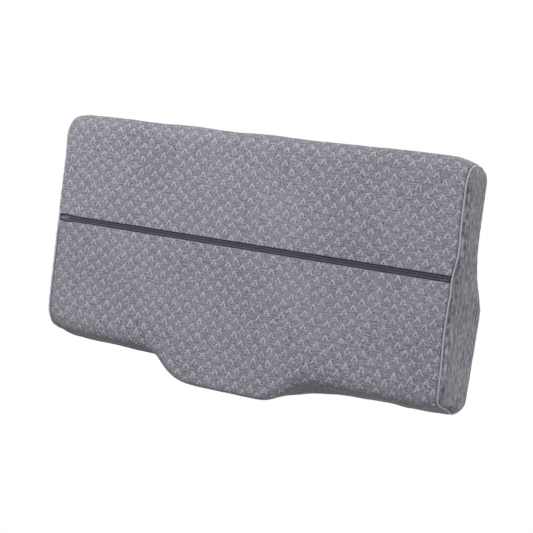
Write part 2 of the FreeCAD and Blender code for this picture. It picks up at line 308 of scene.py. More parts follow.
def grid_normals(grid):
    """Unit normals that point out of the pillow."""
    normal = np.cross(np.gradient(grid, axis=1), np.gradient(grid, axis=0))
    normal /= np.linalg.norm(normal, axis=-1)[..., None]
    outward_ones = np.sum(normal[..., 1:] * (grid[..., 1:] - HEART), -1)
    return normal * np.sign(outward_ones.mean())


def settle(co):
    """Moves points as the sewn cover settles on its foam: small pulls at the seams and corners."""
    co = np.array(co, float)
    x, y, z = co[..., 0].copy(), co[..., 1].copy(), co[..., 2].copy()
    low = 1 - smooth_step(z, 4 * MM, 60 * MM)
    near_end = smooth_step(abs(x), END_X - 60 * MM, END_X)
    right_end = smooth_step(x, 0, 1 * MM)
    left_end = 1 - right_end
    pull_in = ZIP_PULL * bump(y, ZIP_Y, 16 * MM)
    shift = left_end * (pull_in - BACK_PUFF * bump(y, ZIP_Y + 36 * MM, 22 * MM))
    shift += left_end * FRONT_DRAW * bump(y, ZIP_Y - 60 * MM, 45 * MM)
    shift += right_end * (pull_in * 0.5 + BACK_DRAW * bump(y, ZIP_Y + 85 * MM, 55 * MM))
    shift = low * shift + left_end * (1 - low) * TOP_DRAW
    co[..., 0] = x - np.sign(x) * near_end * shift
    front = 1 - smooth_step(y, -135 * MM, -75 * MM)
    rounder = right_end * smooth_step(x, END_X - 70 * MM, END_X) * front * low
    drawn_out = left_end * smooth_step(-x, END_X - 40 * MM, END_X) * front * low
    full = right_end * near_end * smooth_step(y, 100 * MM, 165 * MM) * low
    co[..., 0] += BACK_CORNER[0] * full
    below_top = 1 - smooth_step(z, 60 * MM, 95 * MM)
    flank = bump(x, 90 * MM, 30 * MM) * (1 - smooth_step(y, -135 * MM, -108 * MM)) * below_top
    co[..., 0] += FLANK_OUT * flank
    co[..., 1] -= TIP_OUT * (1 - smooth_step(y, -165 * MM, -140 * MM)) * below_top
    co[..., 1] += CORNER_ROUND * rounder - CORNER_OUT * drawn_out + BACK_CORNER[1] * full
    co[..., 0] -= CORNER_NIP * rounder * smooth_step(-y, 95 * MM, 132 * MM)
    co[..., 1] -= CORNER_BULGE * rounder * bump(z, 22 * MM, 14 * MM)
    return co


# ---- Materials ---------------------------------------------------------------------------------
class Nodes:
    """Builds a node tree step by step."""

    def __init__(self, tree):
        self.tree = tree

    def node(self, kind, **settings):
        made = self.tree.nodes.new(kind)
        for key, value in settings.items():
            setattr(made, key, value)
        return made

    def link(self, source, target):
        if hasattr(source, "is_output"):
            self.tree.links.new(source, target)
        else:
            target.default_value = source

    def math(self, operation, a, b=0.0, c=0.0):
        made = self.node("ShaderNodeMath", operation=operation)
        for value, socket in zip((a, b, c), made.inputs):
            self.link(value, socket)
        return made.outputs[0]

    def plus(self, a, b):
        return self.math("ADD", a, b)

    def minus(self, a, b):
        return self.math("SUBTRACT", a, b)

    def times(self, a, b):
        return self.math("MULTIPLY", a, b)

    def scaled(self, a, factor, shift):
        return self.math("MULTIPLY_ADD", a, factor, shift)

    def uv(self):
        split = self.node("ShaderNodeSeparateXYZ")
        self.link(self.node("ShaderNodeUVMap", uv_map="cloth").outputs[0], split.inputs[0])
        return split.outputs[0], split.outputs[1]

    def combine(self, x, y, z=0.0):
        made = self.node("ShaderNodeCombineXYZ")
        for value, socket in zip((x, y, z), made.inputs):
            self.link(value, socket)
        return made.outputs[0]

    def noise(self, vector, scale, detail=2.0, roughness=0.5):
        made = self.node("ShaderNodeTexNoise")
        self.link(vector, made.inputs["Vector"])
        made.inputs["Scale"].default_value = scale
        made.inputs["Detail"].default_value = detail
        made.inputs["Roughness"].default_value = roughness
        return made.outputs["Fac"]

    def ramp(self, factor, low, high):
        """0 below low, 1 above high."""
        made = self.node("ShaderNodeMapRange", clamp=True)
        self.link(factor, made.inputs["Value"])
        self.link(low, made.inputs["From Min"])
        self.link(high, made.inputs["From Max"])
        return made.outputs[0]

    def mix(self, factor, a, b):
        made = self.node("ShaderNodeMix", data_type="RGBA")
        self.link(factor, made.inputs["Factor"])
        self.link(a, made.inputs[6])
        self.link(b, made.inputs[7])
        return made.outputs[2]

    def bumped(self, height, distance, strength=1.0, before=None):
        made = self.node("ShaderNodeBump")
        made.inputs["Strength"].default_value = strength
        made.inputs["Distance"].default_value = distance
        self.link(height, made.inputs["Height"])
        if before is not None:
            self.link(before, made.inputs["Normal"])
        return made.outputs[0]


class Shader(Nodes):
    """Builds a node material."""

    def __init__(self, name):
        self.material = bpy.data.materials.new(name)
        self.material.use_nodes = True
        super().__init__(self.material.node_tree)
        self.surface = self.tree.nodes["Principled BSDF"]

    def finish(self, **inputs):
        for key, value in inputs.items():
            self.link(value, self.surface.inputs[key.replace("_", " ")])
        return self.material


def srgb(r, g, b):
    """A display colour, 0 to 255, as linear light."""
    linear = [(c / 255 / 12.92) if c <= 10 else (((c / 255) + 0.055) / 1.055) ** 2.4 for c in (r, g, b)]
    return (*linear, 1.0)


def chevron(sh, u, v, pitch, period, shift_u, shift_v, width, height, stroke):
    """1 on a small chevron, apex towards -v, repeated every pitch along u and period along v."""
    a = sh.minus(sh.math("MODULO", sh.plus(u, shift_u + 100 * pitch), pitch), pitch / 2)
    b = sh.minus(sh.math("MODULO", sh.plus(v, shift_v + 100 * period), period), period / 2)
    side = sh.math("ABSOLUTE", a)
    leg = sh.times(sh.plus(b, height / 2), width / 2 / height)
    away = sh.math("ABSOLUTE", sh.minus(side, leg))
    lean = math.cos(math.atan2(width / 2, height))
    edge = 0.25 * MM
    line = sh.minus(1.0, sh.ramp(away, (stroke / 2 - edge) / lean, (stroke / 2 + edge) / lean))
    ends = sh.minus(1.0, sh.ramp(sh.math("ABSOLUTE", b), height / 2 - edge, height / 2 + edge))
    return sh.times(line, ends)


def knit_material(name, ground, dark, light, motif, turned=False, yarn=1.0, fade=None):
    """Heather knit with small woven-in chevrons. turned runs the courses along the panel's second axis.

    yarn scales the width of the streaks. fade is the stretch of the second cloth axis over which the
    chevrons die away.
    """
    sh = Shader(name)
    u, v = sh.uv()
    if turned:
        u, v = v, u
    flat = sh.combine(u, v)
    # The yarn wanders a little, so no motif or course is drawn quite straight.
    stray = 2.2 * MM
    stray_u = sh.minus(sh.noise(flat, 150, 2), 0.5)
    stray_v = sh.minus(sh.noise(sh.combine(v, u), 120, 2), 0.5)
    mu, mv = sh.scaled(stray_u, stray, u), sh.scaled(stray_v, stray, v)
    pitch, period = 22 * MM, 18 * MM
    width, height, stroke = 7.6 * MM, 7.4 * MM, 1.45 * MM
    marks = [chevron(sh, mu, mv, pitch, period, shift_u, shift_v, width, height, stroke)
             for shift_u, shift_v in ((0, 0), (pitch / 2, 7.8 * MM))]
    mark = sh.math("MAXIMUM", *marks)
    # Motif yarn floats in and out of the ground.
    broken = sh.ramp(sh.noise(flat, 420, 3, 0.6), 0.34, 0.58)
    mark = sh.times(mark, sh.scaled(broken, 0.62, 0.38))
    if fade:
        mark = sh.times(mark, sh.minus(1.0, sh.ramp(v, *fade)))
    # Streaks of darker and lighter yarn that run along the courses.
    long_streak = sh.noise(sh.combine(sh.times(u, 0.16), v), 500 / yarn, 2, 0.55)
    short_streak = sh.noise(sh.combine(sh.times(u, 0.5), v, 3.0), 640 / yarn, 2, 0.6)
    speck = sh.noise(flat, 1500, 1, 0.5)
    cloud = sh.noise(flat, 9, 2, 0.5)
    tone = sh.scaled(long_streak, 0.38, sh.times(short_streak, 0.62))
    tone = sh.scaled(sh.minus(speck, 0.5), 0.34, tone)
    tone = sh.scaled(sh.minus(cloud, 0.5), 0.10, tone)
    colour = sh.mix(sh.ramp(tone, 0.36, 0.50), dark, ground)
    colour = sh.mix(sh.ramp(tone, 0.50, 0.66), colour, light)
    colour = sh.mix(sh.times(mark, 0.85), colour, motif)
    # Knit loops, each a small V, with painted shade in the gaps between them and painted light on their
    # crowns.
    wale_width, course_height = 1.1 * MM, 0.9 * MM
    wale = sh.math("PINGPONG", sh.math("DIVIDE", u, wale_width), 0.5)
    slanted = sh.scaled(wale, wale_width, v)
    course = sh.math("SINE", sh.times(slanted, 2 * math.pi / course_height))
    gap = sh.ramp(wale, 0.0, 0.14)
    loops = sh.times(sh.scaled(course, 0.5, 0.5), gap)
    height = sh.plus(sh.times(loops, 0.45), sh.times(tone, 0.8))
    fine = sh.bumped(height, 0.25 * MM, 0.55)
    relief = sh.bumped(mark, 0.45 * MM, 0.8, fine)
    # Painted shade and light of the loops, multiplied into the yarn colour.
    shade = sh.scaled(loops, 0.16, 0.90)
    loop_shaded_colour = sh.node("ShaderNodeMix", data_type="RGBA", blend_type="MULTIPLY")
    loop_shaded_colour.inputs["Factor"].default_value = 1.0
    sh.link(colour, loop_shaded_colour.inputs[6])
    sh.link(sh.combine(shade, shade, shade), loop_shaded_colour.inputs[7])
    return sh.finish(Base_Color=loop_shaded_colour.outputs[2], Roughness=0.92, Normal=relief,
                     Sheen_Weight=0.15, Sheen_Roughness=0.45, Specular_IOR_Level=0.18)


def bias_tape_material():
    """Woven piping tape, cut on the bias, so that its threads cross the cord at a slant."""
    sh = Shader("piping_bias_tape")
    u, v = sh.uv()
    turns = 2 * math.pi / (0.55 * MM)
    threads = sh.math("SINE", sh.times(sh.plus(u, v), turns))
    cross = sh.math("SINE", sh.times(sh.minus(u, v), turns))
    weave = sh.scaled(sh.times(threads, cross), 0.5, 0.5)
    flat = sh.combine(u, v)
    wear = sh.noise(flat, 160, 3, 0.6)
    tone = sh.scaled(weave, 0.25, sh.times(wear, 0.75))
    colour = sh.mix(tone, srgb(138, 134, 147), srgb(186, 182, 194))
    return sh.finish(Base_Color=colour, Roughness=0.7, Normal=sh.bumped(tone, 0.12 * MM, 0.6),
                     Sheen_Weight=0.35, Sheen_Roughness=0.4)


def simple_weave(name, low, high, scale):
    """A plain weave from the piece's own place, for tapes, threads, the liner and cords."""
    warp, weft, depth = 0.7 * MM, 0.9 * MM, 0.1 * MM
    sh = Shader(name)
    place = sh.node("ShaderNodeTexCoord").outputs["Object"]
    split = sh.node("ShaderNodeSeparateXYZ")
    sh.link(place, split.inputs[0])
    lines = sh.math("SINE", sh.times(split.outputs[0], 2 * math.pi / warp))
    across = sh.math("SINE", sh.times(split.outputs[1], 2 * math.pi / weft))
    weave = sh.scaled(sh.times(lines, across), 0.5, 0.5)
    tone = sh.scaled(weave, 0.5, sh.times(sh.noise(place, scale, 3, 0.6), 0.5))
    return sh.finish(Base_Color=sh.mix(tone, low, high), Roughness=0.85,
                     Normal=sh.bumped(tone, depth, 0.7), Sheen_Weight=0.2, Sheen_Roughness=0.4)


def coil_material():
    """Moulded nylon monofilament: dark, satin, with a faint drawn grain."""
    sh = Shader("zip_coil_nylon")
    place = sh.node("ShaderNodeTexCoord").outputs["Object"]
    grain = sh.noise(place, 2400, 2, 0.5)
    colour = sh.mix(grain, srgb(62, 65, 75), srgb(98, 101, 112))
    return sh.finish(Base_Color=colour, Roughness=sh.scaled(grain, 0.2, 0.36),
                     Normal=sh.bumped(grain, 0.03 * MM, 0.4))


def lacquered_metal(name, low, high):
    """Lacquer on zinc, rubbed to bare metal in specks and along worn edges."""
    sh = Shader(name)
    place = sh.node("ShaderNodeTexCoord").outputs["Object"]
    fine = sh.noise(place, 2600, 4, 0.6)
    broad = sh.noise(place, 500, 3, 0.6)
    edge = sh.node("ShaderNodeNewGeometry").outputs["Pointiness"]
    worn = sh.times(sh.ramp(edge, 0.54, 0.62), sh.ramp(broad, 0.45, 0.6))
    colour = sh.mix(broad, low, high)
    colour = sh.mix(worn, colour, srgb(176, 178, 182))
    return sh.finish(Base_Color=colour, Metallic=sh.scaled(worn, 0.6, 0.2),
                     Roughness=sh.scaled(fine, 0.25, 0.3), Coat_Weight=0.2,
                     Normal=sh.bumped(fine, 0.02 * MM, 0.5))


def foam_material():
    """Moulded memory foam: matte, with a fine open-cell skin and painted shade in its pores."""
    sh = Shader("memory_foam")
    place = sh.node("ShaderNodeTexCoord").outputs["Object"]
    cells = sh.node("ShaderNodeTexVoronoi", feature="F1")
    cells.inputs["Scale"].default_value = 900
    sh.link(place, cells.inputs["Vector"])
    pores = sh.ramp(cells.outputs["Distance"], 0.08, 0.4)
    broad = sh.noise(place, 14, 3, 0.5)
    colour = sh.mix(broad, srgb(238, 230, 206), srgb(246, 241, 224))
    # The pores are darker: painted shade in the open cells.
    colour = sh.mix(pores, srgb(205, 196, 170), colour)
    return sh.finish(Base_Color=colour, Roughness=0.95, Normal=sh.bumped(pores, 0.3 * MM, 0.6))


KNIT = dict(ground=srgb(128, 127, 136), dark=srgb(86, 85, 95), light=srgb(168, 167, 175))
materials = {
    "knit": knit_material("knit_cover", motif=srgb(192, 191, 199), **KNIT),
    # The end panels' ground and dark yarn are darker than the wrap's: painted shade on the ends. Their
    # fainter motif and wider streaks are their own.
    "end": knit_material("knit_end_panel", srgb(122, 120, 128), srgb(74, 72, 81), srgb(172, 170, 177),
                         motif=srgb(150, 149, 157), turned=True, yarn=2.4, fade=(2 * MM, 9 * MM)),
    "piping": bias_tape_material(),
    "cord": simple_weave("piping_cord_cotton", srgb(200, 196, 186), srgb(235, 232, 224), 900),
    "tape": simple_weave("zip_tape_weave", srgb(66, 68, 78), srgb(100, 102, 113), 1400),
    "thread": simple_weave("sewing_thread", srgb(120, 120, 128), srgb(170, 170, 178), 1800),
    "zip_thread": simple_weave("zip_thread_twist", srgb(92, 95, 105), srgb(146, 149, 159), 2200),
    "liner": simple_weave("liner_stockinette", srgb(214, 214, 216), srgb(246, 246, 247), 700),
    "coil": coil_material(),
    # The slider body's lacquer is darker than the tab's: painted shade round the closed slider.
    "slider": lacquered_metal("slider_lacquer_painted_shade", srgb(62, 66, 76), srgb(84, 89, 101)),
    "tab": lacquered_metal("pull_tab_lacquer", srgb(96, 108, 124), srgb(122, 134, 150)),
    "stop": lacquered_metal("zip_stop_lacquer", srgb(44, 46, 54), srgb(62, 64, 73)),
    "foam": foam_material(),
}


def dress(obj, key, node=None):
    """Gives a new piece its material and its body, and hides the CAD node that it stands for."""
    obj.data.materials.clear()
    obj.data.materials.append(materials[key])
    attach(obj, "pillow")
    if node:
        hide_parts(node)
    return obj


def thicken(obj, thickness):
    """Gives a skin a wall on its inner side."""
    wall = obj.modifiers.new("thickness", "SOLIDIFY")
    wall.thickness = thickness
    wall.offset = -1
    return wall


def subdivide(obj):
    smoothing = obj.modifiers.new("smooth", "SUBSURF")
    smoothing.levels = smoothing.render_levels = 1


# ---- Inside the cover --------------------------------------------------------------------------
def inset(outline, depth):
    """A closed outline of (y, z) points moved inward."""
    along = np.roll(outline, -1, 0) - np.roll(outline, 1, 0)
    along /= np.linalg.norm(along, axis=1)[:, None]
    normal = np.column_stack([along[:, 1], -along[:, 0]])
    if np.sum((HEART - outline) * normal) < 0:
        normal = -normal
    return outline + normal * np.reshape(depth, (-1, 1))


def crown_rings(rim, depth, seam_x):
    """The rings of a crowned end face, from its seam to its middle, as x, (y, z) pairs and flat outlines.

    rim is the cover's edge; depth is how far inside it the face starts. The flat outlines are the same
    rings with the crown unrolled, for the cloth's own coordinates.
    """
    dome = 0.5 * MM
    rings = []
    for angle in np.radians(np.linspace(0, 90, 10)):
        inward = CROWN_REACH * (1 - math.cos(angle))
        left_to_run = CROWN_REACH * (math.pi / 2 - angle)
        rings.append((seam_x + CROWN_RISE * math.sin(angle), inset(rim, depth + inward),
                      inset(rim, depth + CROWN_REACH - left_to_run)))
    top = rings[-1][1]
    for share in np.linspace(0, 1, 18)[1:-1]:
        ring = top * (1 - share) + HEART * share
        rings.append((seam_x + CROWN_RISE + dome * math.sin(share * math.pi / 2), ring, ring))
    return rings, (seam_x + CROWN_RISE + dome, HEART)


def even_rim(grid, side):
    """The cover's edge at one end, closed across the zip's slot, as even (y, z) points."""
    edge = grid[-1 if side > 0 else 0][:, 1:]
    closed = np.concatenate([edge, edge[:1]])
    total = outline_length(closed)
    rim = resample(closed, np.arange(0, total, RIM_STEP)[:-1])
    for _ in range(3):
        rim = (np.roll(rim, 1, 0) + 2 * rim + np.roll(rim, -1, 0)) / 4
    return rim


def layer(grid, name, depth, end):
    """A closed skin at a depth inside the cover, with the zip's groove and crowned ends."""
    across = np.gradient(grid[..., 1:], axis=1)
    normal = np.stack([across[..., 1], -across[..., 0]], -1)
    normal /= np.linalg.norm(normal, axis=-1)[..., None]
    normal *= np.sign(np.sum(normal * (HEART - grid[..., 1:]), -1).mean())
    skin = grid.copy()
    skin[..., 1:] += normal * depth
    start = END_X - ROUNDING
    x = grid[..., 0]
    beyond = np.clip(abs(x) - start, 0, None) * (end - start) / ROUNDING
    skin[..., 0] = np.sign(x) * (np.minimum(abs(x), start) + beyond)
    groove = 1 - smooth_step(abs(skin[..., 1] - ZIP_Y), 17 * MM, 22 * MM)
    groove *= 1 - smooth_step(skin[..., 2], 12 * MM, 20 * MM)
    roof = GROOVE_ROOF + depth + 1.3 * end_rise(x)  # it rises with the tapes at the ends
    skin[..., 2] += groove * np.clip(roof - skin[..., 2], 0, None)
    caps = []
    for side, row in ((-1, skin[0]), (1, skin[-1])):
        rings, (tip_x, tip) = crown_rings(row[:, 1:], STEP_IN, end + STEP_ON)
        caps.append([np.column_stack([np.full(len(r), side * rx), r]) for rx, r, _ in rings])
        caps[-1].append(np.column_stack([np.full(len(row), side * tip_x), np.tile(tip, (len(row), 1))]))
    rows = np.concatenate([np.array(caps[0][::-1]), skin, np.array(caps[1])])
    count, columns = rows.shape[:2]
    points = settle(rows).reshape(-1, 3)
    obj = mesh_object(name, points, grid_faces(count, columns, wrap_columns=True))
    weld(obj)
    return outward(obj)


def weld(obj):
    """Merges points that lie on top of each other."""
    work = bmesh.new()
    work.from_mesh(obj.data)
    bmesh.ops.remove_doubles(work, verts=work.verts, dist=0.02 * MM)
    work.to_mesh(obj.data)
    work.free()


def trimmed(obj, z, keep_above):
    """Cuts a skin open along a level, and returns the cut as a loop of points."""
    work = bmesh.new()
    work.from_mesh(obj.data)
    everything = work.verts[:] + work.edges[:] + work.faces[:]
    cut = bmesh.ops.bisect_plane(work, geom=everything, plane_co=(0, 0, z), plane_no=(0, 0, 1),
                                 clear_inner=keep_above, clear_outer=not keep_above)
    on_cut = [e for e in cut["geom_cut"] if isinstance(e, bmesh.types.BMVert)]
    loop = np.array([v.co[:] for v in on_cut])
    work.to_mesh(obj.data)
    work.free()
    turn = np.arctan2(loop[:, 1], loop[:, 0])
    return loop[np.argsort(turn)]


def core(grid):
    """The foam core, the liner's two panels and the overlocked seam between them."""
    foam = layer(grid, "foam_core_moulded", cover_high.z - foam_high.z, foam_high.x - CROWN_RISE - STEP_ON)
    dress(foam, "foam", "foam_core")
    depth, end = cover_high.z - liner_high.z, liner_high.x - CROWN_RISE - STEP_ON
    level = liner_low.z
    for name, above in (("top", True), ("bottom", False)):
        panel = layer(grid, f"liner_{name}_panel", depth, end)
        loop = trimmed(panel, level, above)
        thicken(panel, LINER_THICKNESS)
        dress(panel, "liner", f"inner_liner_{name}")
    total = outline_length(np.concatenate([loop, loop[:1]]))
    path = resample(np.concatenate([loop, loop[:1]]), np.arange(0, total, 1.0 * MM)[:-1])
    path[:, 2] += 0.9 * MM * np.sin(np.arange(len(path)) * math.pi / 2 + 0.3)
    seam = tube("liner_seam_overlock", path, 0.35 * MM, sides=6, closed=True)
    dress(outward(seam), "thread", "inner_liner_seam")


# ---- The knit cover ----------------------------------------------------------------------------
def drape(grid):
    """Cloth simulation: the wrap, sewn at its ends and along the zip, draws tight over the foam.

    The knit is cut a little small, so it hugs the crests and bridges the hollows; beside the tongue's
    flanks it is cut a little full, and small folds form there.
    """
    rows, columns = grid.shape[:2]
    faces = grid_faces(rows, columns)
    sheet = mesh_object("drape_sheet", grid.reshape(-1, 3), faces)
    block_depth, gap = 3.0 * MM, 0.8 * MM
    block = layer(grid, "drape_block", block_depth, END_X - block_depth)
    collision = block.modifiers.new("collision", "COLLISION")
    collision.settings.thickness_outer = gap
    collision.settings.cloth_friction = 4
    pins = sheet.vertex_groups.new(name="pins")
    snug = sheet.vertex_groups.new(name="snug")
    edge = np.zeros((rows, columns), bool)
    edge[:2], edge[-2:], edge[:, :2], edge[:, -2:] = True, True, True, True
    pins.add(np.flatnonzero(edge.ravel()).tolist(), 1.0, "REPLACE")
    x, y, z = grid[..., 0], grid[..., 1], grid[..., 2]
    flank = bump(abs(x), 100 * MM, 26 * MM) * (1 - smooth_step(y, -130 * MM, -90 * MM))
    for k, weight in enumerate(np.clip(1 - flank, 0, 1).ravel()):
        snug.add([k], float(weight), "REPLACE")
    cloth = sheet.modifiers.new("cloth", "CLOTH")
    knit = dict(quality=7, mass=0.2, tension_stiffness=18, compression_stiffness=18, shear_stiffness=6,
                bending_stiffness=0.8, tension_damping=12, compression_damping=12, shear_damping=12,
                vertex_group_mass="pins", vertex_group_shrink="snug", shrink_min=-0.035, shrink_max=0.012)
    for key, value in knit.items():
        setattr(cloth.settings, key, value)
    cloth.settings.effector_weights.gravity = 0
    cloth.collision_settings.distance_min = gap
    cloth.collision_settings.collision_quality = 3
    scene = bpy.context.scene
    cloth.point_cache.frame_start, cloth.point_cache.frame_end = 1, DRAPE_FRAMES
    for step in range(1, DRAPE_FRAMES + 1):
        scene.frame_set(step)
    settled = sheet.evaluated_get(bpy.context.evaluated_depsgraph_get()).data
    co = np.empty(len(settled.vertices) * 3)
    settled.vertices.foreach_get("co", co)
    move = co.reshape(grid.shape) - grid
    scene.frame_set(1)
    for obj in (sheet, block):
        bpy.data.objects.remove(obj)
    # The front is stuffed full, so the cloth gives way less there.
    stuffed = (1 - smooth_step(y, -100 * MM, -75 * MM)) * (1 - smooth_step(z, 35 * MM, 75 * MM))
    capped = np.minimum(1, DRAPE_CAP / np.maximum(np.linalg.norm(move, axis=-1), 1e-9))
    return grid + move * (capped * (1 - 0.85 * stuffed))[..., None]


def folded_edge(grid, cloth, first):
    """Extra columns that turn the cover's edge beside the zip under, as a hem. first is the front side."""
    side = -1 if first else 1
    edge = grid[:, 0] if first else grid[:, -1]
    cloth_edge = cloth[:, 0] if first else cloth[:, -1]
    rolled, rolled_cloth = [], []
    turns = [(math.radians(a), 0.0) for a in (36, 72, 108, 144, 180)] + [(math.pi, 2 * MM), (math.pi, 8 * MM)]
    for angle, run in turns:
        point = edge.copy()
        point[:, 1] += side * (run - FOLD_R * math.sin(angle))
        point[:, 2] += FOLD_R * (1 - math.cos(angle))
        rolled.append(point)
        cloth_point = cloth_edge.copy()
        cloth_point[:, 1] += side * (FOLD_R * angle + run)
        rolled_cloth.append(cloth_point)
    rolled, rolled_cloth = np.stack(rolled, 1), np.stack(rolled_cloth, 1)
    if first:
        return np.concatenate([rolled[:, ::-1], grid], 1), np.concatenate([rolled_cloth[:, ::-1], cloth], 1)
    return np.concatenate([grid, rolled], 1), np.concatenate([cloth, rolled_cloth], 1)


def tucked_ends(grid, cloth):
    """Two more rows at each end that turn the cover's edge in, under the piping."""
    def tuck(edge, cloth_edge, out):
        inward = HEART - edge[:, 1:]
        inward /= np.linalg.norm(inward, axis=1)[:, None]
        rows, cloth_rows = [], []
        for run, depth in ((0.4 * MM, 0.7 * MM), (0.1 * MM, 2.2 * MM)):
            row = edge.copy()
            row[:, 0] += out * run
            row[:, 1:] += inward * depth
            rows.append(row)
            cloth_row = cloth_edge.copy()
            cloth_row[:, 0] += out * depth
            cloth_rows.append(cloth_row)
        return np.array(rows), np.array(cloth_rows)

    low, cloth_low = tuck(grid[0], cloth[0], -1)
    high, cloth_high = tuck(grid[-1], cloth[-1], 1)
    return (np.concatenate([low[::-1], grid, high]), np.concatenate([cloth_low[::-1], cloth, cloth_high]))


def fabric_relief(grid):
    """The cover's own unevenness, in metres along the normal: puffs, puckers at the seams, creases."""
    x, y, z = grid[..., 0], grid[..., 1], grid[..., 2]
    broad = waves(14, 70 * MM, 160 * MM, 3)(grid)
    small = waves(18, 18 * MM, 40 * MM, 4)(grid)
    on_sole = 1 - smooth_step(z, 1 * MM, 14 * MM)
    rolls, dimples, puckers, gathers = 0.55 * MM, 0.18 * MM, 0.35 * MM, 0.22 * MM
    puff, seam_dip, lift = 0.9 * MM, 1.3 * MM, 0.25 * MM
    corner_crease, flank_crease = 0.9 * MM, 1.1 * MM
    relief = (rolls * broad + dimples * small) * (1 - 0.6 * on_sole)
    from_end = END_X - abs(x)
    pucker = waves(10, 7 * MM, 15 * MM, 5)(np.stack([np.zeros_like(x), y, z], -1))
    relief += puckers * pucker * np.exp(-from_end / (9 * MM)) * smooth_step(from_end, 0, 3 * MM)
    # The cloth puffs a little before it dives into the end seam.
    bare = smooth_step(x, 0, 1 * MM) * (1 - smooth_step(y, ZIP_Y - 25 * MM, ZIP_Y + 5 * MM)) * on_sole
    relief += puff * bump(from_end, 6 * MM, 4.5 * MM) * smooth_step(from_end, 0, 2.5 * MM) * (1 - bare)
    relief -= seam_dip * bump(from_end, 0, 1.6 * MM)
    from_zip = abs(y - ZIP_Y) + 1000 * (1 - on_sole)
    gather = waves(10, 9 * MM, 24 * MM, 6)(np.stack([x, np.zeros_like(x), np.zeros_like(x)], -1))
    relief += gathers * gather * np.exp(-np.clip(from_zip - SLOT_HALF, 0, None) / (8 * MM))
    relief -= on_sole * lift  # the sole stays on the ground plane or just above
    # Creases where the cloth turns off the sole: at one front corner, and down one flank of the tongue.
    turn = bump(z, 3.5 * MM, 2.5 * MM) * smooth_step(-y, 90 * MM, 105 * MM)
    relief -= turn * (corner_crease * bump(x, 262 * MM, 34 * MM) + flank_crease * bump(x, -98 * MM, 30 * MM))
    return relief


def around_slider(grid):
    """Opens the slot a little where the closed slider sits."""
    x, y, z = grid[..., 0], grid[..., 1], grid[..., 2]
    middle = (slider_low.x + slider_high.x) / 2
    near = bump(x, middle, 8 * MM) * np.exp(-np.clip(abs(y - ZIP_Y) - SLOT_HALF, 0, None) / (6 * MM))
    grid[..., 1] += np.sign(y - ZIP_Y) * SLIDER_ROOM * near * (z < 12 * MM)
    return grid


def knit_cover(grid, cloth):
    """The wrapped panel: draped, with relief, folded zip edges and tucked ends, and thickened inward."""
    grid = drape(grid)
    grid[..., 2] = np.maximum(grid[..., 2], 0.1 * MM)
    grid = grid + grid_normals(grid) * fabric_relief(grid)[..., None]
    grid = around_slider(grid)
    grid, cloth = folded_edge(grid, cloth, True)
    grid, cloth = folded_edge(grid, cloth, False)
    grid, cloth = tucked_ends(grid, cloth)
    grid = settle(grid)
    # At the zip's head the wrap laps over its piping behind the zip, and bares it in front.
    low = 1 - smooth_step(grid[..., 2], 12 * MM, 45 * MM)
    behind = smooth_step(grid[..., 1], ZIP_Y - 25 * MM, ZIP_Y + 5 * MM)
    lap = LAP_BEFORE + (LAP_BEHIND - LAP_BEFORE) * behind
    grid[..., 0] += lap * bump(grid[..., 0], END_X - 3 * MM, 5 * MM) * low
    rows, columns = grid.shape[:2]
    obj = mesh_object("knit_cover_wrap", grid.reshape(-1, 3), grid_faces(rows, columns), cloth.reshape(-1, 2))
    subdivide(obj)
    thicken(obj, KNIT_THICKNESS)
    dress(obj, "knit", "cover_main_panel")


def end_panel(grid, side, name):
    """A crowned end panel: it rises steeply out of its seam and puckers there."""
    rings, (tip_x, tip) = crown_rings(even_rim(grid, side), SEAM_INSET, END_X)
    rough = waves(16, 22 * MM, 60 * MM, 8 + side)
    pucker = waves(10, 7 * MM, 14 * MM, 20 + side)
    points, uv = [], []
    for k, (x, ring, flat) in enumerate(rings):
        co = np.column_stack([np.full(len(ring), x), ring])
        border = bump(k, 4, 3)
        co[:, 0] += 0.5 * MM * rough(co) * smooth_step(k, 6, 14) + 0.35 * MM * pucker(co) * border
        points.append(co)
        uv.append(flat[:, ::-1])
    points, uv = np.array(points), np.array(uv)
    rows, columns = points.shape[:2]
    points = np.concatenate([points.reshape(-1, 3), [[tip_x, *tip]]])
    uv = np.concatenate([uv.reshape(-1, 2), [tip[::-1]]])
    points[:, 0] *= side
    faces = grid_faces(rows, columns, wrap_columns=True)
    last = (rows - 1) * columns
    faces += [(last + j, len(points) - 1, last + (j + 1) % columns) for j in range(columns)]
    obj = mesh_object(f"end_panel_{name}", settle(points), faces, uv)
    outward(obj)
    thicken(obj, KNIT_THICKNESS)
    # The end knit's darker ground and dark yarn are painted shade.
    dress(obj, "end", f"cover_end_panel_{name}")


def end_seam(grid, side, name):
    """The covered cord in the end seam, uneven where the stitches draw it down, and those stitches."""
    rim = even_rim(grid, side)
    path = np.column_stack([np.full(len(rim), side * PIPING_X), inset(rim, PIPING_R)])
    path = settle(path)
    waver = waves(8, 12 * MM, 40 * MM, 30 + side)(path)
    path[:, 0] += 0.12 * MM * waver
    length = np.arange(len(path)) * RIM_STEP
    swell = 1 + 0.035 * np.sin(2 * math.pi * length / (6 * MM)) + 0.02 * waver
    sleeve = tube(f"piping_{name}", path, PIPING_R, sides=14, closed=True, radii=0.96 * PIPING_R * swell)
    subdivide(outward(sleeve))
    dress(sleeve, "piping", f"piping_sleeve_{name}")

    cord_r = (cord_high.x - cord_low.x) / 2
    lay = cord_r * (1 + 0.06 * np.sin(2 * math.pi * length / (7 * MM)))
    cord = tube(f"piping_filler_{name}", path, cord_r, sides=10, closed=True, radii=0.95 * lay)
    dress(outward(cord), "cord", f"piping_cord_{name}")

    thread_x = (seam_low.x + seam_high.x) / 2
    stitch = inset(rim, 4.4 * MM + 0.25 * MM * np.sin(2 * math.pi * length / (7.5 * MM)))
    path = settle(np.column_stack([np.full(len(rim), side * thread_x), stitch]))
    stitches = tube(f"end_seam_stitches_{name}", path, 0.3 * MM, sides=6, closed=True)
    dress(outward(stitches), "thread", f"end_seam_thread_{name}")
